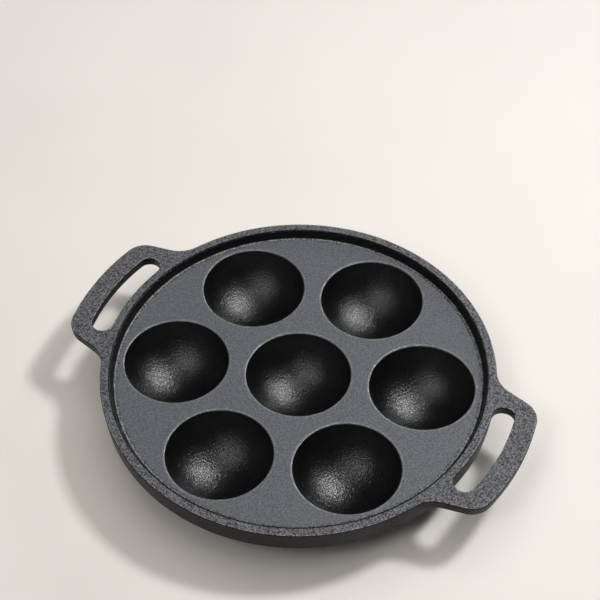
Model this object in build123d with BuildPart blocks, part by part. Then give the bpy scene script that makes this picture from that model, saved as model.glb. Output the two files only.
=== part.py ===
from build123d import *
import math
import os

# Aebleskiver pan for seven round pancakes: one grey-iron casting with no moving parts.
# It is modelled as the sections that a pattern maker would name, which meet face to face.
# Millimetres, +Z up. The origin is under the middle cup, at the level the pan stands on,
# and +X runs through one of the two handles.

# Cups
mouth_diameter = 59.2  # inside a cup, at the top of the griddle plate
cup_depth = 27.5  # from the top of the plate to the lowest point inside
cup_wall = 4.0
foot_trim = 1.0  # height ground off each dome, which leaves the flat it stands on
lip_radius = 1.0  # rounds the plate over into a cup
lip_land = 0.5  # flat metal between the lip's round and the cup's seat
ring_cups = 6  # cups round the middle one
ring_turn = 21.2  # degrees from the line of the handles to the first ring cup

# Griddle plate
plate_thickness = 4.5
dome_gap = 4.0  # between two neighbouring domes, at the underside of the plate
root_radius = 1.2  # rounds the domes and the skirt into the underside of the plate
edge_step = 2.0  # height of the plate's upper edge, above its wider flange
flange_land = 1.0  # how far the flange reaches into the skirt

# Rim, which stands above the plate and runs down as a skirt below it
rim_height = 5.0  # above the top of the plate
rim_width = 5.8  # across the flat on top
skirt_drop = 2.0  # below the collars that carry the domes
skirt_gap = 2.2  # between the outer domes and the skirt
rim_lean = 0.7  # how far the rim's inner edge stands out from the skirt's inner face
wall_lean = 1.6  # how far the inner wall slopes in from its top to its foot
cove_radius = 1.6  # at the foot of the rim's inner wall
casting_draft = 4.8  # degrees, on every outer face that leaves the sand
edge_radius = 0.8  # rounds the outside edges of the rim and handles

# Handles
handle_thickness = 6.2
grip_width = 12.4  # from the finger slot to the handle's outer edge
slot_width = 12.2  # from the rim to the grip
flank_half_width = 41.0  # half the width of a handle, across the middle of its slot
flank_lean = 12.3  # degrees that each flank opens out towards the pan
corner_radius = 13.5
handle_root_radius = 16.5  # rounds each flank into the rim
slot_half_angle = 15.0  # degrees that the finger slot runs each way
slot_end_land = 0.6  # straight edge between the two rounds at each end of the slot
seat_share = 0.5  # share of the rim's width that the handle is let into
seat_margin = 1.5  # degrees of plain rim between a handle's root and its seat's end
seat_drop = 1.5  # how far the handle's seat reaches below its underside

# Sizes that follow from these
mouth_radius = mouth_diameter / 2
bowl_radius = (mouth_radius**2 + cup_depth**2) / (2 * cup_depth)
dome_radius = bowl_radius + cup_wall
plate_top = cup_depth + cup_wall - foot_trim
plate_bottom = plate_top - plate_thickness
bowl_centre = plate_top - cup_depth + bowl_radius


def sphere_reach(radius, height):
    """How far a sphere about a cup's centre reaches from the cup's axis, at a height."""
    return math.sqrt(radius**2 - (height - bowl_centre) ** 2)


foot_radius = sphere_reach(dome_radius, 0)
dome_root = sphere_reach(dome_radius, plate_bottom)
pitch = 2 * dome_root + dome_gap
collar_depth = 1.5 * root_radius
collar_bottom = plate_bottom - collar_depth
collar_reach = sphere_reach(dome_radius, collar_bottom)
lip_edge = math.sqrt((bowl_radius + lip_radius) ** 2 - (plate_top - lip_radius - bowl_centre) ** 2)
seat_top = lip_edge + lip_land
seat_foot = (sphere_reach(bowl_radius, collar_bottom) + collar_reach) / 2

rim_top = plate_top + rim_height
skirt_bottom = collar_bottom - skirt_drop
skirt_inner = pitch + dome_root + skirt_gap
rim_inner = skirt_inner + rim_lean
rim_outer = rim_inner + rim_width
wall_foot = rim_inner - wall_lean
wall_angle = math.atan2(wall_lean, rim_height)
cove_start = wall_foot - cove_radius * math.tan((math.pi / 2 - wall_angle) / 2)
plate_edge = (pitch + seat_top + cove_start) / 2
flange_top = plate_top - edge_step
flange_edge = skirt_inner + flange_land

handle_bottom = rim_top - handle_thickness
slot_outer = rim_outer + slot_width
handle_reach = slot_outer + grip_width
slot_end_radius = (slot_width - slot_end_land) / 2
slot_middle = (rim_outer + slot_outer) / 2
flank_slope = math.tan(math.radians(flank_lean))
flank_offset = slot_middle * math.sin(math.radians(flank_lean)) + flank_half_width * math.cos(
    math.radians(flank_lean)
)
root_turn = math.degrees(math.acos((flank_offset + handle_root_radius) / (rim_outer + handle_root_radius)))
seat_half_angle = 90 - flank_lean - root_turn + seat_margin
seat_floor = handle_bottom - seat_drop
seat_inner = rim_inner + seat_share * rim_width


def draft_radius(height):
    """Radius of the rim's drafted outer face at a height."""
    return rim_outer - (rim_top - height) * math.tan(math.radians(casting_draft))


def upright(x, y):
    """The upright plane through a cup's axis, with its own X outwards and Y up."""
    return Plane(origin=(x, y, 0), x_dir=(1, 0, 0), z_dir=(0, -1, 0))


cup_places = {"cup_middle": (0, 0)}
for number in range(ring_cups):
    angle = math.radians(ring_turn + number * 360 / ring_cups)
    cup_places[f"cup_{number + 1}"] = (pitch * math.cos(angle), pitch * math.sin(angle))


def cup_at(x, y):
    """One cup: a round bowl with its lip, seated in the plate, and the dome below it."""
    with BuildPart() as cup:
        with BuildSketch(upright(x, y)):
            with BuildLine():
                foot = Line((0, 0), (foot_radius, 0))
                dome = RadiusArc(foot @ 1, (collar_reach, collar_bottom), -dome_radius)
                seat = Polyline(dome @ 1, (seat_foot, collar_bottom), (seat_top, plate_top))
                lip = Line(seat @ 1, (mouth_radius, plate_top))
                bowl = RadiusArc(lip @ 1, (0, plate_top - cup_depth), bowl_radius)
                Line(bowl @ 1, foot @ 0)
            make_face()
        revolve(axis=Axis((x, y, 0), (0, 0, 1)))
        rims = cup.edges().filter_by(GeomType.CIRCLE).group_by(Axis.Z)[-1]
        fillet(rims.sort_by(SortBy.RADIUS)[0], lip_radius)
    return cup.part


# Griddle plate: a stepped disc with a tapered seat for each cup
with BuildPart() as griddle_plate:
    with BuildSketch(Plane.XZ):
        with BuildLine():
            Polyline(
                (0, plate_top),
                (plate_edge, plate_top),
                (plate_edge, flange_top),
                (flange_edge, flange_top),
                (flange_edge, collar_bottom),
                (skirt_inner, collar_bottom),
                (skirt_inner, plate_bottom),
                (0, plate_bottom),
                close=True,
            )
        make_face()
    revolve(axis=Axis.Z)
    for x, y in cup_places.values():
        with BuildSketch(upright(x, y)):
            with BuildLine():
                collar = Polyline((0, plate_bottom), (0, collar_bottom), (collar_reach, collar_bottom))
                outside = RadiusArc(collar @ 1, (dome_root, plate_bottom), -dome_radius)
                Line(outside @ 1, collar @ 0)
            make_face()
        revolve(axis=Axis((x, y, 0), (0, 0, 1)))
    underside = griddle_plate.edges().filter_by_position(Axis.Z, plate_bottom, plate_bottom)
    fillet(underside.filter_by(GeomType.CIRCLE), min(root_radius, dome_gap / 2, skirt_gap / 2))
    for x, y in cup_places.values():
        with BuildSketch(upright(x, y)):
            with BuildLine():
                Polyline(
                    (0, collar_bottom),
                    (seat_foot, collar_bottom),
                    (seat_top, plate_top),
                    (0, plate_top),
                    close=True,
                )
            make_face()
        revolve(axis=Axis((x, y, 0), (0, 0, 1)), mode=Mode.SUBTRACT)


def ring_sector(inner, outer, half_angle):
    """A face between two radii about the pan's middle, that far each way from +X."""
    with BuildSketch() as sector:
        with BuildLine():
            inside = CenterArc((0, 0), inner, -half_angle, 2 * half_angle)
            outside = CenterArc((0, 0), outer, -half_angle, 2 * half_angle)
            Line(inside @ 0, outside @ 0)
            Line(inside @ 1, outside @ 1)
        make_face()
    return sector.sketch


# Rim: the wall round the plate with its cove and the skirt below, cut away where a handle seats
with BuildPart() as rim:
    with BuildSketch(Plane.XZ):
        with BuildLine():
            Polyline(
                (plate_edge, plate_top),
                (wall_foot, plate_top),
                (rim_inner, rim_top),
                (rim_outer, rim_top),
                (draft_radius(skirt_bottom), skirt_bottom),
                (skirt_inner, skirt_bottom),
                (skirt_inner, collar_bottom),
                (flange_edge, collar_bottom),
                (flange_edge, flange_top),
                (plate_edge, flange_top),
                close=True,
            )
        make_face()
    revolve(axis=Axis.Z)
    plate_level = rim.edges().filter_by_position(Axis.Z, plate_top, plate_top)
    fillet(plate_level.sort_by(SortBy.RADIUS)[-1], cove_radius)
    circles = rim.edges().filter_by(GeomType.CIRCLE).group_by(Axis.Z)
    fillet(circles[0] + circles[-1], edge_radius)
    with BuildSketch(Plane.XY.offset(seat_floor)):
        with PolarLocations(0, 2):
            add(ring_sector(seat_inner, handle_reach, seat_half_angle))
    extrude(amount=rim_top - seat_floor, mode=Mode.SUBTRACT)

# Handle: a drafted slab blended into the round of the rim, with a finger slot through it
with BuildPart() as handle_right:
    with BuildSketch(Plane.XY.offset(rim_top)) as outline:
        with BuildLine():
            tip_half_width = flank_half_width - (handle_reach - slot_middle) * flank_slope
            base_half_width = flank_half_width + slot_middle * flank_slope
            Polyline(
                (0, -base_half_width),
                (handle_reach, -tip_half_width),
                (handle_reach, tip_half_width),
                (0, base_half_width),
                close=True,
            )
        make_face()
        Circle(handle_reach, mode=Mode.INTERSECT)
        fillet(outline.vertices().group_by(Axis.X)[-1], corner_radius)
        Circle(rim_outer)
        roots = outline.vertices().filter_by(lambda corner: rim_outer / 2 < corner.X < slot_middle)
        fillet(roots, handle_root_radius)
    extrude(amount=-handle_thickness, taper=casting_draft)
    with BuildSketch(Plane.XY.offset(rim_top)) as slot:
        add(ring_sector(rim_outer, slot_outer, slot_half_angle))
        fillet(slot.vertices(), slot_end_radius)
    extrude(amount=-handle_thickness, taper=-casting_draft, mode=Mode.SUBTRACT)
    fillet(handle_right.edges().filter_by_position(Axis.Z, rim_top, rim_top), edge_radius)
    fillet(handle_right.edges().filter_by_position(Axis.Z, handle_bottom, handle_bottom), edge_radius)
    with BuildSketch(Plane.XZ):
        with BuildLine():
            wall_level = handle_bottom + 2 * edge_radius
            Polyline(
                (seat_inner, seat_floor),
                (draft_radius(seat_floor), seat_floor),
                (draft_radius(wall_level), wall_level),
                (seat_inner, wall_level),
                close=True,
            )
        make_face()
    revolve(axis=Axis.Z)
    with BuildSketch(Plane.XY.offset(seat_floor)):
        add(ring_sector(seat_inner, 2 * handle_reach, seat_half_angle))
    extrude(amount=rim_top - seat_floor, mode=Mode.INTERSECT)

with BuildPart() as handle_left:
    add(handle_right.part, rotation=(0, 0, 180))

parts = {
    "griddle_plate": griddle_plate.part,
    "rim": rim.part,
    "handle_right": handle_right.part,
    "handle_left": handle_left.part,
}
for name, place in cup_places.items():
    parts[name] = cup_at(*place)

os.makedirs("parts", exist_ok=True)
for name, part in parts.items():
    part.label = name
    export_step(part, f"parts/{name}.step")
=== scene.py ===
import math

import bmesh
import bpy
import numpy as np
from mathutils import Matrix, Vector
from mathutils.geometry import delaunay_2d_cdt


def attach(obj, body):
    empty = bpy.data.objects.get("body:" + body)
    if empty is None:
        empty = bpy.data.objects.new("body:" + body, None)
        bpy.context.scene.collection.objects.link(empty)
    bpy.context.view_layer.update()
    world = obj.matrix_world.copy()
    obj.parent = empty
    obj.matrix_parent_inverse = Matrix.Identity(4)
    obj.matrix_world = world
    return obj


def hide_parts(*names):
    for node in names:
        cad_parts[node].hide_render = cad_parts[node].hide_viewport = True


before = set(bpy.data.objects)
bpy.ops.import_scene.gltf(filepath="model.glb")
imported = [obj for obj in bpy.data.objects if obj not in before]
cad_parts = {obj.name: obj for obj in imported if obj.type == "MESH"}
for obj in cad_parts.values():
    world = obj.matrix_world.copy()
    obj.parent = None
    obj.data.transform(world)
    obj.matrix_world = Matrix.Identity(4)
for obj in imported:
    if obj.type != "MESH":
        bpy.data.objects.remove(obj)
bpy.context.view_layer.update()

MM = 0.001


# Sizes of the casting, in millimetres, as in the CAD source

MOUTH_RADIUS = 29.6
CUP_DEPTH = 27.5
CUP_WALL = 4.0
FOOT_TRIM = 1.0
LIP_RADIUS = 1.0
LIP_LAND = 0.5
RING_CUPS = 6
RING_TURN = 21.2

PLATE_THICKNESS = 4.5
DOME_GAP = 4.0
ROOT_RADIUS = 1.2
COLLAR_ROOTS = 1.5
EDGE_STEP = 2.0
FLANGE_LAND = 1.0

RIM_HEIGHT = 5.0
RIM_WIDTH = 5.8
SKIRT_DROP = 2.0
SKIRT_GAP = 2.2
RIM_LEAN = 0.7
WALL_LEAN = 1.6
COVE_RADIUS = 1.6
DRAFT = math.radians(4.8)
EDGE_RADIUS = 0.8

HANDLE_THICKNESS = 6.2
GRIP_WIDTH = 12.4
SLOT_WIDTH = 12.2
FLANK_HALF_WIDTH = 41.0
FLANK_LEAN = math.radians(12.3)
CORNER_RADIUS = 13.5
HANDLE_ROOT_RADIUS = 16.5
SLOT_HALF_ANGLE = math.radians(15.0)
SLOT_END_LAND = 0.6
SEAT_MARGIN = math.radians(1.5)
SEAT_DROP = 1.5

BOWL_RADIUS = (MOUTH_RADIUS**2 + CUP_DEPTH**2) / (2 * CUP_DEPTH)
DOME_RADIUS = BOWL_RADIUS + CUP_WALL
PLATE_TOP = CUP_DEPTH + CUP_WALL - FOOT_TRIM
PLATE_BOTTOM = PLATE_TOP - PLATE_THICKNESS
BOWL_CENTRE = PLATE_TOP - CUP_DEPTH + BOWL_RADIUS


def sphere_reach(radius, height):
    """How far a sphere about a cup's centre reaches from the cup's axis, at a height."""
    return math.sqrt(radius**2 - (height - BOWL_CENTRE) ** 2)


PITCH = 2 * sphere_reach(DOME_RADIUS, PLATE_BOTTOM) + DOME_GAP
COLLAR_BOTTOM = PLATE_BOTTOM - COLLAR_ROOTS * ROOT_RADIUS
COLLAR_REACH = sphere_reach(DOME_RADIUS, COLLAR_BOTTOM)
LIP_EDGE = math.sqrt((BOWL_RADIUS + LIP_RADIUS) ** 2 - (PLATE_TOP - LIP_RADIUS - BOWL_CENTRE) ** 2)
SEAT_TOP = LIP_EDGE + LIP_LAND
SEAT_FOOT = (sphere_reach(BOWL_RADIUS, COLLAR_BOTTOM) + COLLAR_REACH) / 2

RIM_TOP = PLATE_TOP + RIM_HEIGHT
SKIRT_BOTTOM = COLLAR_BOTTOM - SKIRT_DROP
SKIRT_INNER = PITCH + sphere_reach(DOME_RADIUS, PLATE_BOTTOM) + SKIRT_GAP
RIM_INNER = SKIRT_INNER + RIM_LEAN
RIM_OUTER = RIM_INNER + RIM_WIDTH
WALL_FOOT = RIM_INNER - WALL_LEAN
COVE_START = WALL_FOOT - COVE_RADIUS * math.tan((math.pi / 2 - math.atan2(WALL_LEAN, RIM_HEIGHT)) / 2)
PLATE_EDGE = (PITCH + SEAT_TOP + COVE_START) / 2
FLANGE_TOP = PLATE_TOP - EDGE_STEP
FLANGE_EDGE = SKIRT_INNER + FLANGE_LAND

HANDLE_BOTTOM = RIM_TOP - HANDLE_THICKNESS
SLOT_OUTER = RIM_OUTER + SLOT_WIDTH
HANDLE_REACH = SLOT_OUTER + GRIP_WIDTH
SLOT_END_RADIUS = (SLOT_WIDTH - SLOT_END_LAND) / 2
SLOT_MIDDLE = (RIM_OUTER + SLOT_OUTER) / 2
SEAT_FLOOR = HANDLE_BOTTOM - SEAT_DROP
SEAT_INNER = RIM_INNER + RIM_WIDTH / 2


def drafted(height):
    """Radius of the rim's drafted outer face at a height."""
    return RIM_OUTER - (RIM_TOP - height) * math.tan(DRAFT)


# Outlines

ROUND_STEPS = 8


def rounded(corners):
    """Points along straight runs between corners (a, b, radius), rounded to the radius; 0 stays sharp."""
    points = []
    for number, (a, b, radius) in enumerate(corners):
        here = np.array((a, b))
        if radius == 0:
            points.append(here)
            continue
        before = np.array(corners[number - 1][:2]) - here
        after = np.array(corners[number + 1][:2]) - here
        before = before / np.linalg.norm(before)
        after = after / np.linalg.norm(after)
        half = math.acos(float(np.clip(before @ after, -1, 1))) / 2
        middle = (before + after) / np.linalg.norm(before + after)
        centre = here + middle * radius / math.sin(half)
        start = here + before * radius / math.tan(half) - centre
        end = here + after * radius / math.tan(half) - centre
        first = math.atan2(start[1], start[0])
        sweep = (math.atan2(end[1], end[0]) - first + math.pi) % (2 * math.pi) - math.pi
        for step in range(ROUND_STEPS + 1):
            turn = first + sweep * step / ROUND_STEPS
            points.append(centre + radius * np.array((math.cos(turn), math.sin(turn))))
    return points


def arc(centre, radius, first, last, steps):
    """Points along an arc, its angles in radians, both ends included."""
    turns = np.linspace(first, last, steps + 1)
    return [np.array((centre[0] + radius * math.cos(t), centre[1] + radius * math.sin(t))) for t in turns]


# Meshes, built as open sheets of (points, faces) and welded into one closed piece

SAME_POINT = 1e-7
WELD_REACH = 0.002
SHARP_EDGE = math.radians(35)


def spin(profile, centre=(0, 0), turns=None, steps=None):
    """The sheet that a profile of (radius, height) sweeps about an upright axis, in steps or over turns."""
    whole = turns is None
    angles = np.linspace(0, 2 * math.pi, steps, endpoint=False) if whole else turns
    points = []
    for angle in angles:
        for radius, height in profile:
            x = centre[0] + radius * math.cos(angle)
            y = centre[1] + radius * math.sin(angle)
            points.append((x, y, height))
    faces = []
    run = len(profile)
    for i in range(len(angles) if whole else len(angles) - 1):
        here = i * run
        there = ((i + 1) % len(angles)) * run
        for j in range(run - 1):
            faces.append((here + j, there + j, there + j + 1, here + j + 1))
    return points, faces


def loft(loops):
    """The sheet between closed loops of as many points each."""
    count = len(loops[0])
    points = [tuple(p) for loop in loops for p in loop]
    faces = []
    for level in range(len(loops) - 1):
        for j in range(count):
            k = (j + 1) % count
            low = level * count
            faces.append((low + j, low + k, low + count + k, low + count + j))
    return points, faces


def strip(first, second):
    """The sheet between two lines of as many points each."""
    run = len(first)
    return first + second, [(j, j + 1, run + j + 1, run + j) for j in range(run - 1)]


def cap(points):
    """The sheet of a single face."""
    return points, [tuple(range(len(points)))]


def flat(outside, holes, height):
    """A flat sheet at a height, inside one closed outline and outside the holes."""
    loops = [outside] + list(holes)
    corners = []
    edges = []
    for loop in loops:
        first = len(corners)
        corners += [Vector((float(p[0]), float(p[1]))) for p in loop]
        edges += [(first + j, first + (j + 1) % len(loop)) for j in range(len(loop))]
    result = delaunay_2d_cdt(corners, edges, [], 0, SAME_POINT)
    found = result[0]
    faces = result[2]

    def within(point, loop):
        x, y = point
        a = np.array(loop)
        b = np.roll(a, -1, axis=0)
        cross = (a[:, 1] > y) != (b[:, 1] > y)
        side = x < (b[:, 0] - a[:, 0]) * (y - a[:, 1]) / np.where(cross, b[:, 1] - a[:, 1], 1) + a[:, 0]
        return bool(np.sum(cross & side) % 2)

    kept = []
    for face in faces:
        middle = sum((found[i] for i in face), Vector((0, 0))) / len(face)
        if within(middle, outside) and not any(within(middle, hole) for hole in holes):
            kept.append(tuple(face))
    return [(p.x, p.y, height) for p in found], kept


def piece(name, sheets, material, slot, *nodes):
    """Welds sheets, in millimetres, into one closed mesh that stands for CAD nodes and rides on the root."""
    body = bmesh.new()
    for points, faces in sheets:
        corners = [body.verts.new(Vector(p) * MM) for p in points]
        for face in faces:
            body.faces.new([corners[i] for i in face])
    bmesh.ops.remove_doubles(body, verts=body.verts, dist=WELD_REACH * MM)
    bmesh.ops.recalc_face_normals(body, faces=body.faces)
    mesh = bpy.data.meshes.new(name)
    body.to_mesh(mesh)
    body.free()
    mesh.shade_smooth()
    mesh.set_sharp_from_angle(angle=SHARP_EDGE)
    made = bpy.data.objects.new(name, mesh)
    bpy.context.scene.collection.objects.link(made)
    mesh.materials.append(material)
    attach(made, "root")
    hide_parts(*nodes)


# Materials


def linear(hex_colour):
    """An sRGB hex colour as the linear values that a shader takes."""
    parts = [int(hex_colour[i : i + 2], 16) / 255 for i in (1, 3, 5)]
    return tuple(c / 12.92 if c <= 0.04045 else ((c + 0.055) / 1.055) ** 2.4 for c in parts) + (1.0,)


def add_node(tree, kind, inputs=None, **settings):
    """Adds a node with its settings; inputs maps a socket to a value or to the socket that feeds it."""
    made = tree.nodes.new(kind)
    for key, value in settings.items():
        setattr(made, key, value)
    for key, value in (inputs or {}).items():
        if isinstance(value, bpy.types.NodeSocket):
            tree.links.new(value, made.inputs[key])
        else:
            made.inputs[key].default_value = value
    return made


def new_material(name, values):
    """A material with values on its shader's own sockets, and its node tree."""
    material = bpy.data.materials.new(name)
    material.use_nodes = True
    tree = material.node_tree
    for socket, value in values.items():
        tree.nodes["Principled BSDF"].inputs[socket].default_value = value
    return material, tree


def looks_up(tree):
    """How far a face looks up, from -1 to 1."""
    surface = add_node(tree, "ShaderNodeNewGeometry")
    facing = add_node(tree, "ShaderNodeSeparateXYZ", {"Vector": surface.outputs["True Normal"]})
    return facing.outputs["Z"]


# The range that most values of the grit's noise lie in, and the slice of the noise that is used
GRIT_LOW = 0.36
GRIT_HIGH = 0.64
GRIT_SLICE = 3.7


def sand_print(tree, colour, fleck, grain, depth):
    """Prints the moulding sand on a surface: grains that tilt each glint, with lighter and darker flecks."""
    shader = tree.nodes["Principled BSDF"]
    place = add_node(tree, "ShaderNodeTexCoord")
    pattern = {"Vector": place.outputs["Object"], "Scale": 1 / (grain * MM)}
    sand = add_node(tree, "ShaderNodeTexNoise", {**pattern, "Detail": 2.0, "Roughness": 0.6})
    grit = add_node(
        tree,
        "ShaderNodeTexNoise",
        {**pattern, "Detail": 1.0, "Roughness": 0.5, "W": GRIT_SLICE},
        noise_dimensions="4D",
    )
    spread = {"From Min": GRIT_LOW, "From Max": GRIT_HIGH, "To Min": 1 - fleck, "To Max": 1 + fleck}
    flecks = add_node(tree, "ShaderNodeMapRange", {"Value": grit.outputs["Fac"], **spread})
    flecked = add_node(
        tree,
        "ShaderNodeVectorMath",
        {0: colour, "Scale": flecks.outputs["Result"]},
        operation="SCALE",
    )
    relief = add_node(
        tree,
        "ShaderNodeBump",
        {"Height": sand.outputs["Fac"], "Distance": depth * MM, "Strength": 1.0},
    )
    tree.links.new(flecked.outputs["Vector"], shader.inputs["Base Color"])
    tree.links.new(relief.outputs["Normal"], shader.inputs["Normal"])


# The rim's seam of painted shade along its inner edge: its radius and half widths, full and faded out, and
# its share of colour and roughness
SEAM_RADIUS = RIM_INNER + 0.25
SEAM_CORE = 0.6
SEAM_EDGE = 0.9
SEAM_TONE = 0.04
SEAM_ROUGHNESS = 0.24


def seam_shade_and_glaze(tree, colour, seam):
    """Darkens a ring about the radius seam, in millimetres, as painted shade on the rim's inner edge, and
    glazes it to a lower roughness.
    """
    rough = tree.nodes["Principled BSDF"].inputs["Roughness"]
    place = add_node(tree, "ShaderNodeTexCoord")
    levelled = add_node(
        tree,
        "ShaderNodeVectorMath",
        {0: place.outputs["Object"], 1: (1.0, 1.0, 0.0)},
        operation="MULTIPLY",
    )
    reach = add_node(tree, "ShaderNodeVectorMath", {0: levelled.outputs["Vector"]}, operation="LENGTH")
    off = add_node(tree, "ShaderNodeMath", {0: reach.outputs["Value"], 1: seam * MM}, operation="SUBTRACT")
    away = add_node(tree, "ShaderNodeMath", {0: off.outputs["Value"]}, operation="ABSOLUTE")
    ring = {"Value": away.outputs["Value"], "From Min": SEAM_CORE * MM, "From Max": SEAM_EDGE * MM}
    kept = add_node(tree, "ShaderNodeMapRange", {**ring, "To Min": SEAM_TONE, "To Max": 1.0})
    glaze = add_node(
        tree,
        "ShaderNodeMapRange",
        {**ring, "To Min": SEAM_ROUGHNESS, "To Max": rough.default_value},
    )
    tree.links.new(glaze.outputs["Result"], rough)
    dark = add_node(
        tree,
        "ShaderNodeVectorMath",
        {0: colour, "Scale": kept.outputs["Result"]},
        operation="SCALE",
    )
    return dark.outputs["Vector"]


def cast_iron(name, roughness, ior, tones, fleck, grain, depth, seam=None):
    """Seasoned grey iron as cast; tones runs from faces that look down (0) to faces that look up (1)."""
    material, tree = new_material(name, {"Roughness": roughness, "IOR": ior})
    lean = add_node(tree, "ShaderNodeMapRange", {"Value": looks_up(tree), "From Min": -1.0, "From Max": 1.0})
    tone = add_node(tree, "ShaderNodeValToRGB", {"Fac": lean.outputs["Result"]})
    stops = tone.color_ramp.elements
    while len(stops) < len(tones):
        stops.new(0.5)
    for stop, (at, colour) in zip(stops, tones):
        stop.position = at
        stop.color = linear(colour)
    colour = tone.outputs["Color"]
    # The seam ring paints shade on the rim's inner edge.
    if seam:
        colour = seam_shade_and_glaze(tree, colour, seam)
    sand_print(tree, colour, fleck, grain, depth)
    return material


# The band of the lip painted in the plate's grey, partly worn metal and partly a painted highlight line, in
# lip radii below the plate's top
LIP_BAND_FROM = 0.5
LIP_BAND_TO = 0.2


def bowl_iron(name, roughness, ior, inside, lip, outside, fleck, grain, depth):
    """Seasoned iron of a cup: black with oil inside and partly as painted shade, lighter on the lip's top as
    partly worn metal and partly a painted highlight, dry grey outside.
    """
    material, tree = new_material(name, {"Roughness": roughness, "IOR": ior})
    place = add_node(tree, "ShaderNodeTexCoord")
    height = add_node(tree, "ShaderNodeSeparateXYZ", {"Vector": place.outputs["Object"]})
    upward = add_node(tree, "ShaderNodeMath", {0: looks_up(tree), 1: 0.0}, operation="GREATER_THAN")
    near_lip = add_node(
        tree,
        "ShaderNodeMapRange",
        {
            "Value": height.outputs["Z"],
            "From Min": (PLATE_TOP - LIP_BAND_FROM * LIP_RADIUS) * MM,
            "From Max": (PLATE_TOP - LIP_BAND_TO * LIP_RADIUS) * MM,
        },
    )
    worn_and_highlit = add_node(
        tree,
        "ShaderNodeMix",
        {"Factor": near_lip.outputs["Result"], "A": linear(inside), "B": linear(lip)},
        data_type="RGBA",
    )
    colour = add_node(
        tree,
        "ShaderNodeMix",
        {"Factor": upward.outputs["Value"], "A": linear(outside), "B": worn_and_highlit.outputs["Result"]},
        data_type="RGBA",
    )
    sand_print(tree, colour.outputs["Result"], fleck, grain, depth)
    return material


# The sand's grains are 0.2 to 0.3 mm; they are drawn about four times as coarse, so that they show.

# Grey iron cast in fine sand and baked with oil: an even satin slate grey with a fine grain, darker below.
ground_iron = cast_iron(
    "fine_sand_cast_seasoned_iron",
    roughness=0.48,
    ior=1.5,
    tones=[(0.0, "#3a3b3d"), (1.0, "#5d6066")],
    fleck=0.36,
    grain=0.9,
    depth=0.16,
)

# The same iron cast in coarse sand: a pebbled skin, grey on its level faces. Its sides and steep faces are
# painted near black as painted shade, and its gently sloping rounds and cove are painted lighter as a painted
# highlight line, so the flat tops are a shade darker than them. The rim's inner edge is a ring of painted
# shade.
sand_cast_iron = cast_iron(
    "coarse_sand_cast_seasoned_iron",
    roughness=0.43,
    ior=1.34,
    # Faces that look down, sideways or steeply up are painted shade; the light stops at 0.93 to 0.985 are a
    # painted highlight.
    tones=[
        (0.0, "#1a1817"),
        (0.5, "#040302"),
        (0.56, "#020202"),
        (0.885, "#020202"),
        (0.93, "#7a7c80"),
        (0.985, "#7a7c80"),
        (0.999, "#5b5d62"),
    ],
    fleck=0.75,
    grain=1.05,
    depth=0.65,
    seam=SEAM_RADIUS,
)

# Iron under many coats of baked oil: near black, darker than the plate's iron as painted shade for the cups'
# own shade, with a soft broad glint that the sand's grain breaks up, and a thin lighter lip that is partly
# worn metal and partly a painted highlight line. The thick coat mirrors more than bare oil would, so its IOR
# is high.
seasoned_iron = bowl_iron(
    "oil_and_shade_black_bowl_iron",
    roughness=0.32,
    ior=1.95,
    inside="#020202",
    lip="#666a70",
    outside="#3a3b3d",
    fleck=0.4,
    grain=0.95,
    depth=0.4,
)


# Cups

CUP_STEPS = 120
BOWL_STEPS = 36


def cup_places():
    """Each cup's name and the place of its axis."""
    places = {"cup_middle": (0.0, 0.0)}
    for number in range(RING_CUPS):
        angle = math.radians(RING_TURN + number * 360 / RING_CUPS)
        places[f"cup_{number + 1}"] = (PITCH * math.cos(angle), PITCH * math.sin(angle))
    return places


def cup_profile():
    """A cup's section from its axis inside, over the lip, down the seat and round the dome to its foot."""
    lip_height = PLATE_TOP - LIP_RADIUS
    lip_turn = math.atan2(BOWL_CENTRE - lip_height, LIP_EDGE)
    bowl = arc((0, BOWL_CENTRE), BOWL_RADIUS, -math.pi / 2, -lip_turn, BOWL_STEPS)
    lip = arc((LIP_EDGE, lip_height), LIP_RADIUS, math.pi - lip_turn, math.pi / 2, ROUND_STEPS)
    foot_turn = math.acos(sphere_reach(DOME_RADIUS, 0) / DOME_RADIUS)
    root_turn = math.acos(COLLAR_REACH / DOME_RADIUS)
    dome = arc((0, BOWL_CENTRE), DOME_RADIUS, -root_turn, -foot_turn, BOWL_STEPS)
    seat = [(SEAT_TOP, PLATE_TOP), (SEAT_FOOT, COLLAR_BOTTOM)]
    return bowl + lip[1:] + seat + dome + [(0, 0)]


for name, place in cup_places().items():
    piece(f"{name}_bowl", [spin(cup_profile(), place, steps=CUP_STEPS)], seasoned_iron, "seasoned_iron", name)


# Griddle plate

PLATE_STEPS = 240
UNDER_ROUND = min(ROOT_RADIUS, DOME_GAP / 2, SKIRT_GAP / 2)


def ring(radius, centre=(0, 0), steps=PLATE_STEPS):
    """A circle's points about an upright axis."""
    return arc(centre, radius, 0, 2 * math.pi, steps)[:-1]


def rings(radius):
    """A circle about each cup's axis."""
    return [ring(radius, place, CUP_STEPS) for place in cup_places().values()]


def root_round():
    """Section of the round between the plate's underside and a dome, from the plate down to the dome."""
    centre_height = PLATE_BOTTOM - UNDER_ROUND
    centre_reach = sphere_reach(DOME_RADIUS + UNDER_ROUND, centre_height)
    touch = math.atan2(BOWL_CENTRE - centre_height, -centre_reach)
    return arc((centre_reach, centre_height), UNDER_ROUND, math.pi / 2, touch, ROUND_STEPS)


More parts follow.
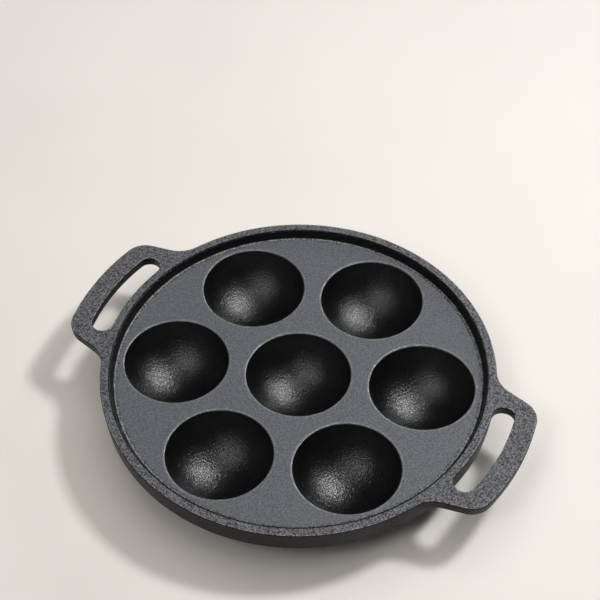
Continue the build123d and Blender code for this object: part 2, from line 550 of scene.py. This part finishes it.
def plate_sheets():
    """The plate's edge, its top and underside round the cups, and the collar and seat of each cup."""
    edge = rounded(
        [
            (PLATE_EDGE, PLATE_TOP, 0),
            (PLATE_EDGE, FLANGE_TOP, 0),
            (FLANGE_EDGE, FLANGE_TOP, 0),
            (FLANGE_EDGE, COLLAR_BOTTOM, 0),
            (SKIRT_INNER, COLLAR_BOTTOM, 0),
            (SKIRT_INNER, PLATE_BOTTOM, UNDER_ROUND),
            (SKIRT_INNER - 2 * UNDER_ROUND, PLATE_BOTTOM, 0),
        ]
    )[:-1]
    collar = root_round()
    section = collar + [(COLLAR_REACH, COLLAR_BOTTOM), (SEAT_FOOT, COLLAR_BOTTOM), (SEAT_TOP, PLATE_TOP)]
    return [
        spin(edge, steps=PLATE_STEPS),
        flat(ring(PLATE_EDGE), rings(SEAT_TOP), PLATE_TOP),
        flat(ring(edge[-1][0]), rings(collar[0][0]), PLATE_BOTTOM),
        *(spin(section, place, steps=CUP_STEPS) for place in cup_places().values()),
    ]


piece("griddle_plate_top", plate_sheets(), ground_iron, "seasoned_iron", "griddle_plate")


# Rim, with its cove and skirt, cut away where a handle is let in

FLANK_OFFSET = SLOT_MIDDLE * math.sin(FLANK_LEAN) + FLANK_HALF_WIDTH * math.cos(FLANK_LEAN)
FLANK_FACING = math.pi / 2 - FLANK_LEAN
ROOT_FACING = FLANK_FACING - math.acos((FLANK_OFFSET + HANDLE_ROOT_RADIUS) / (RIM_OUTER + HANDLE_ROOT_RADIUS))
CORNER_FACING = FLANK_FACING - math.acos((FLANK_OFFSET - CORNER_RADIUS) / (HANDLE_REACH - CORNER_RADIUS))
SEAT_HALF_ANGLE = ROOT_FACING + SEAT_MARGIN
SEAT_STEPS = 40


def rim_sheets():
    """The rim's wall all round, with less of it over the handles' seats, and the ends of those seats."""
    outer_edge = rounded(
        [
            (SEAT_INNER, RIM_TOP, 0),
            (RIM_OUTER, RIM_TOP, EDGE_RADIUS),
            (drafted(SEAT_FLOOR), SEAT_FLOOR, 0),
        ]
    )
    seat_edge = [(SEAT_INNER, RIM_TOP), (SEAT_INNER, SEAT_FLOOR), (drafted(SEAT_FLOOR), SEAT_FLOOR)]
    below = rounded(
        [
            (drafted(SEAT_FLOOR), SEAT_FLOOR, 0),
            (drafted(SKIRT_BOTTOM), SKIRT_BOTTOM, EDGE_RADIUS),
            (SKIRT_INNER, SKIRT_BOTTOM, EDGE_RADIUS),
            (SKIRT_INNER, COLLAR_BOTTOM, 0),
            (FLANGE_EDGE, COLLAR_BOTTOM, 0),
            (FLANGE_EDGE, FLANGE_TOP, 0),
            (PLATE_EDGE, FLANGE_TOP, 0),
            (PLATE_EDGE, PLATE_TOP, 0),
            (WALL_FOOT, PLATE_TOP, COVE_RADIUS),
            (RIM_INNER, RIM_TOP, EDGE_RADIUS),
            (SEAT_INNER, RIM_TOP, 0),
        ]
    )[1:]
    sheets = []
    for side in (0, math.pi):
        seat = np.linspace(side - SEAT_HALF_ANGLE, side + SEAT_HALF_ANGLE, SEAT_STEPS + 1)
        free = np.linspace(side + SEAT_HALF_ANGLE, side + math.pi - SEAT_HALF_ANGLE, 2 * SEAT_STEPS + 1)
        sheets.append(spin(seat_edge + below, turns=seat))
        sheets.append(spin(outer_edge + below, turns=free))
        for turn in (seat[0], seat[-1]):
            end = [seat_edge[1]] + outer_edge
            sheets.append(cap([(r * math.cos(turn), r * math.sin(turn), z) for r, z in end]))
    return sheets


piece("rim_wall", rim_sheets(), sand_cast_iron, "sand_cast_iron", "rim")


# Handles

GRIP_STEPS = 24
CORNER_STEPS = 20
ROOT_STEPS = 24
SEAT_END_STEPS = 2
SLOT_SIDE_STEPS = 16
SLOT_END_STEPS = 12
ARM_STEPS = 8

# How near counts as touching, the least share of a rounding, and how far in a side's section starts
TOUCH = 0.001
LEAST_ROUND = 0.0001
INSET = 3 * EDGE_RADIUS


def facing_arc(centre, radius, first, last, steps, inward=False):
    """Points along an arc, each with the direction that its edge faces."""
    points = []
    for turn in np.linspace(first, last, steps + 1):
        facing = np.array((math.cos(turn), math.sin(turn)))
        points.append((np.array(centre) + radius * facing, -facing if inward else facing))
    return points


def polar(radius, turn):
    """The point at a distance and direction from the pan's middle."""
    return np.array((radius * math.cos(turn), radius * math.sin(turn)))


def raised(points, height):
    """An outline's points at a height."""
    return [(p[0], p[1], height) for p in points]


def mirrored(outline):
    """An outline's points and facings on the other side of the handle's middle line."""
    return [(point * (1, -1), facing * (1, -1)) for point, facing in outline]


def handle_outline():
    """A handle's outer edge from one end of its seat to the other, with the way each point faces."""
    root = polar(RIM_OUTER + HANDLE_ROOT_RADIUS, ROOT_FACING)
    root_turns = (FLANK_FACING + math.pi, ROOT_FACING + math.pi)
    corner = polar(HANDLE_REACH - CORNER_RADIUS, CORNER_FACING)
    half = (
        facing_arc((0, 0), HANDLE_REACH, 0, CORNER_FACING, GRIP_STEPS)
        + facing_arc(corner, CORNER_RADIUS, CORNER_FACING, FLANK_FACING, CORNER_STEPS)[1:]
        + facing_arc(root, HANDLE_ROOT_RADIUS, *root_turns, ROOT_STEPS, inward=True)
        + facing_arc((0, 0), RIM_OUTER, ROOT_FACING, SEAT_HALF_ANGLE, SEAT_END_STEPS)[1:]
    )
    return mirrored(half)[:0:-1] + half


def slot_outline():
    """The finger slot's edge as a closed loop, facing into the metal."""
    near = RIM_OUTER + SLOT_END_RADIUS
    far = SLOT_OUTER - SLOT_END_RADIUS
    near_turn = SLOT_HALF_ANGLE - math.asin(SLOT_END_RADIUS / near)
    far_turn = SLOT_HALF_ANGLE - math.asin(SLOT_END_RADIUS / far)
    end = SLOT_HALF_ANGLE + math.pi / 2
    half = (
        facing_arc((0, 0), SLOT_OUTER, 0, far_turn, SLOT_SIDE_STEPS)
        + facing_arc(polar(far, far_turn), SLOT_END_RADIUS, far_turn, end, SLOT_END_STEPS)[1:]
        + facing_arc(polar(near, near_turn), SLOT_END_RADIUS, end, near_turn + math.pi, SLOT_END_STEPS)
        + facing_arc((0, 0), RIM_OUTER, near_turn, 0, SLOT_SIDE_STEPS, inward=True)[1:]
    )
    return half + mirrored(half)[-2:0:-1]


def side_levels(outline):
    """The rings of a handle's side, rounded over above, drafted, and rounded under where it stands free."""
    foot = HANDLE_THICKNESS * math.tan(DRAFT)
    columns = []
    for point, facing in outline:
        overhang = np.linalg.norm(point) - RIM_OUTER
        under = EDGE_RADIUS * float(np.clip(overhang / (2 * EDGE_RADIUS), LEAST_ROUND, 1))
        section = rounded(
            [
                (INSET, RIM_TOP, 0),
                (0, RIM_TOP, EDGE_RADIUS),
                (foot, HANDLE_BOTTOM, under),
                (foot + INSET, HANDLE_BOTTOM, 0),
            ]
        )[1:-1]
        columns.append([(*(point - inset * facing), z) for inset, z in section])
    return [list(level) for level in zip(*columns)]


def seat_sheets(side, slot, inner):
    """The handle's underside outside the rim's face, and its seat below that: outer face and floor."""
    reach = drafted(HANDLE_BOTTOM)
    foot = [np.array(p[:2]) for p in side[-1]]
    hole = [np.array(p[:2]) for p in slot[-1]]
    near = [j for j, p in enumerate(hole) if np.linalg.norm(p) < reach + TOUCH]
    near_turn = math.atan2(hole[near[0]][1], hole[near[0]][0])
    arm = [polar(reach, t) for t in np.linspace(ROOT_FACING, near_turn, ARM_STEPS + 1)[1:-1]]
    other_arm = [p * (1, -1) for p in reversed(arm)]
    beyond = hole[near[0] :: -1] + hole[: near[-1] - 1 : -1]
    underside = foot[SEAT_END_STEPS:-SEAT_END_STEPS] + arm + beyond + other_arm
    ends = foot[: -SEAT_END_STEPS - 2 : -1], foot[SEAT_END_STEPS::-1]
    upper = ends[0] + arm + [hole[j] for j in near] + other_arm + ends[1]
    lower = [p * drafted(SEAT_FLOOR) / np.linalg.norm(p) for p in upper]
    return [
        flat(underside, [], HANDLE_BOTTOM),
        strip(raised(upper, HANDLE_BOTTOM), raised(lower, SEAT_FLOOR)),
        flat(lower + inner[::-1], [], SEAT_FLOOR),
    ]


def handle_sheets():
    """All the sheets of the handle on +X."""
    side = side_levels(handle_outline())
    slot = side_levels([(point, -facing) for point, facing in slot_outline()])
    inner = [polar(SEAT_INNER, t) for t in np.linspace(SEAT_HALF_ANGLE, -SEAT_HALF_ANGLE, SEAT_STEPS + 1)]
    points, faces = loft(side)
    count = len(side[0])
    sheets = [
        loft(slot),
        (points, [face for face in faces if face[1] % count != 0]),
        flat([p[:2] for p in side[0]] + inner, [[p[:2] for p in slot[0]]], RIM_TOP),
        *seat_sheets(side, slot, inner),
        strip(raised(inner, RIM_TOP), raised(inner, SEAT_FLOOR)),
    ]
    for end, corner, turn in ((0, inner[-1], -SEAT_HALF_ANGLE), (-1, inner[0], SEAT_HALF_ANGLE)):
        flank = [level[end] for level in side]
        floor = raised([polar(drafted(SEAT_FLOOR), turn), corner], SEAT_FLOOR)
        sheets.append(cap(raised([corner], RIM_TOP) + flank + floor))
    return sheets


def turned_half(sheets):
    """The sheets turned half round about the pan's axis."""
    return [([(-x, -y, z) for x, y, z in points], faces) for points, faces in sheets]


piece("handle_right_loop", handle_sheets(), sand_cast_iron, "sand_cast_iron", "handle_right")
piece("handle_left_loop", turned_half(handle_sheets()), sand_cast_iron, "sand_cast_iron", "handle_left")


# Camera, as fitted to the photo, in millimetres and pixels

FOCAL_PIXELS = 1670.0
IMAGE_PIXELS = 600
SENSOR_WIDTH = 36.0
CAMERA_DISTANCE = 980.0
CAMERA_ELEVATION = math.radians(49.17)
CAMERA_AZIMUTH = math.radians(29.46)
CAMERA_ROLL = math.radians(-0.455)
LOOK = (-25.99, 48.5, PLATE_TOP)

back = Vector(
    (
        math.sin(CAMERA_AZIMUTH) * math.cos(CAMERA_ELEVATION),
        -math.cos(CAMERA_AZIMUTH) * math.cos(CAMERA_ELEVATION),
        math.sin(CAMERA_ELEVATION),
    )
)
level = Vector((math.cos(CAMERA_AZIMUTH), math.sin(CAMERA_AZIMUTH), 0))
steep = back.cross(level)
right = level * math.cos(CAMERA_ROLL) + steep * math.sin(CAMERA_ROLL)
up = steep * math.cos(CAMERA_ROLL) - level * math.sin(CAMERA_ROLL)
camera_data = bpy.data.cameras.new("camera")
camera_data.sensor_fit = "HORIZONTAL"
camera_data.sensor_width = SENSOR_WIDTH
camera_data.lens = SENSOR_WIDTH * FOCAL_PIXELS / IMAGE_PIXELS
camera = bpy.data.objects.new("camera", camera_data)
bpy.context.scene.collection.objects.link(camera)
camera.matrix_world = Matrix((right, up, back)).transposed().to_4x4()
camera.matrix_world.translation = (Vector(LOOK) + back * CAMERA_DISTANCE) * MM
bpy.context.scene.camera = camera


# Floor: how far it is lit, where it is all backdrop, and half its width, in millimetres

FLOOR_LIT_REACH = 250.0
FLOOR_PALE_REACH = 850.0
FLOOR_HALF_WIDTH = 8000.0
CLOUDS_PER_METRE = 9.0
CLOUD_CONTRAST = 0.04


def floor_paint(name, colour, backdrop):
    """Matt pale paint that runs out into an evenly pale backdrop, and lets the pan be seen from below."""
    material, tree = new_material(name, {"Roughness": 0.7})
    shader = tree.nodes["Principled BSDF"]
    place = add_node(tree, "ShaderNodeTexCoord")
    cloud = add_node(
        tree,
        "ShaderNodeTexNoise",
        {"Vector": place.outputs["Object"], "Scale": CLOUDS_PER_METRE, "Detail": 3.0},
    )
    shade = add_node(
        tree,
        "ShaderNodeMapRange",
        {"Value": cloud.outputs["Fac"], "To Min": 1 - CLOUD_CONTRAST, "To Max": 1 + CLOUD_CONTRAST},
    )
    clouded = add_node(
        tree,
        "ShaderNodeVectorMath",
        {0: linear(colour)[:3], "Scale": shade.outputs["Result"]},
        operation="SCALE",
    )
    tree.links.new(clouded.outputs["Vector"], shader.inputs["Base Color"])
    reach = add_node(tree, "ShaderNodeVectorMath", {0: place.outputs["Object"]}, operation="LENGTH")
    span = {"From Min": FLOOR_LIT_REACH * MM, "From Max": FLOOR_PALE_REACH * MM}
    far = add_node(tree, "ShaderNodeMapRange", {"Value": reach.outputs["Value"], **span})
    ray = add_node(tree, "ShaderNodeLightPath")
    reflected = add_node(
        tree,
        "ShaderNodeMath",
        {0: ray.outputs["Is Glossy Ray"], 1: ray.outputs["Is Transmission Ray"]},
        operation="MAXIMUM",
    )
    seen = add_node(
        tree,
        "ShaderNodeMath",
        {0: ray.outputs["Is Camera Ray"], 1: reflected.outputs["Value"]},
        operation="MAXIMUM",
    )
    pale = add_node(
        tree,
        "ShaderNodeMath",
        {0: far.outputs["Result"], 1: seen.outputs["Value"]},
        operation="MULTIPLY",
    )
    glow = add_node(tree, "ShaderNodeEmission", {"Color": linear(backdrop), "Strength": 1.0})
    above = add_node(
        tree,
        "ShaderNodeMixShader",
        {0: pale.outputs["Value"], 1: shader.outputs["BSDF"], 2: glow.outputs["Emission"]},
    )
    side = add_node(tree, "ShaderNodeNewGeometry")
    clear = add_node(tree, "ShaderNodeBsdfTransparent")
    whole = add_node(
        tree,
        "ShaderNodeMixShader",
        {0: side.outputs["Backfacing"], 1: above.outputs["Shader"], 2: clear.outputs["BSDF"]},
    )
    tree.links.new(whole.outputs["Shader"], tree.nodes["Material Output"].inputs["Surface"])
    return material


def stage_floor(name, half_width, material):
    """A square floor about the pan, half its width in millimetres."""
    half = half_width * MM
    mesh = bpy.data.meshes.new(name)
    corners = [(-half, -half, 0), (half, -half, 0), (half, half, 0), (-half, half, 0)]
    mesh.from_pydata(corners, [], [(0, 1, 2, 3)])
    mesh.materials.append(material)
    made = bpy.data.objects.new(name, mesh)
    bpy.context.scene.collection.objects.link(made)


stage_floor("floor", FLOOR_HALF_WIDTH, floor_paint("floor_paint", "#ece8e3", "#e6e1db"))


# Lamps, with distances and sizes in metres

away = Vector((-math.sin(CAMERA_AZIMUTH), math.cos(CAMERA_AZIMUTH), 0))


def seen_from_camera(x, y, z):
    """A direction given as right, away and up of the camera, turned into the frame."""
    return level * x + away * y + Vector((0, 0, z))


def area_light(name, direction, distance, size, watts, colour="#ffffff"):
    """A square lamp that shines on the pan from a direction."""
    data = bpy.data.lights.new(name, "AREA")
    data.size = size
    data.energy = watts
    data.color = linear(colour)[:3]
    lamp = bpy.data.objects.new(name, data)
    bpy.context.scene.collection.objects.link(lamp)
    aim = seen_from_camera(*direction).normalized()
    lamp.location = aim * distance
    lamp.rotation_euler = aim.to_track_quat("Z", "Y").to_euler()
    return lamp


area_light("key", (0.535, 0.245, 0.80), distance=1.35, size=0.2, watts=9.8)
area_light("window", (0.5, 0.78, 0.38), distance=1.6, size=0.4, watts=4)
area_light("fill", (-0.33, -0.48, 0.8), distance=1.6, size=0.45, watts=4.2)
room_light = area_light("room", (0.0, 0.1, 0.995), distance=2.2, size=2.5, watts=25.5, colour="#fff9f2")
room_light.visible_glossy = False


# Room, with the heights on a sky of radius 1 where its walls end and its ceiling begins

WALL_TOP = 0.12
CEILING_EDGE = 0.24


def room_world(pale, dark):
    """A room with pale walls as high as its horizon and a dim ceiling, which the pan's gloss mirrors."""
    world = bpy.data.worlds.new("room")
    world.use_nodes = True
    tree = world.node_tree
    place = add_node(tree, "ShaderNodeTexCoord")
    rise = add_node(tree, "ShaderNodeSeparateXYZ", {"Vector": place.outputs["Generated"]})
    ceiling = add_node(
        tree,
        "ShaderNodeMapRange",
        {"Value": rise.outputs["Z"], "From Min": WALL_TOP, "From Max": CEILING_EDGE},
    )
    room = add_node(
        tree,
        "ShaderNodeMix",
        {"Factor": ceiling.outputs["Result"], "A": linear(pale), "B": linear(dark)},
        data_type="RGBA",
    )
    tree.links.new(room.outputs["Result"], tree.nodes["Background"].inputs["Color"])
    return world


bpy.context.scene.world = room_world("#e6e1db", "#141414")

bpy.context.scene.view_settings.view_transform = "Standard"
